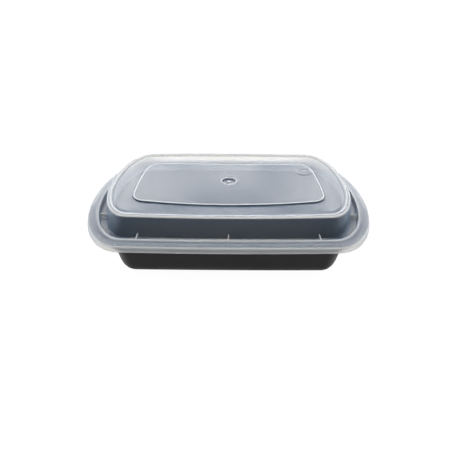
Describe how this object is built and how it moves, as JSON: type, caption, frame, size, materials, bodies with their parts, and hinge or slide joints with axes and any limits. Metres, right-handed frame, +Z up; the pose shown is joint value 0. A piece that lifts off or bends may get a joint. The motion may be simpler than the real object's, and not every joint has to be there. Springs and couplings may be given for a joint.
{
  "type": "takeaway meal container",
  "caption": "Shallow rectangular plastic tray with rounded corners and a translucent domed lid snapped over its rim.",
  "frame": {"origin": "middle of the tray's underside, on the surface that it stands on", "axes": "+X along the length, +Y across the width away from the viewer of the picture, +Z up"},
  "size_m": [0.223, 0.1546, 0.0517],
  "materials": {
    "tray": "matte black",
    "lid": "milky translucent"
  },
  "bodies": {
    "root": {"tray": "tray", "lid": "lid"}
  },
  "joints": []
}
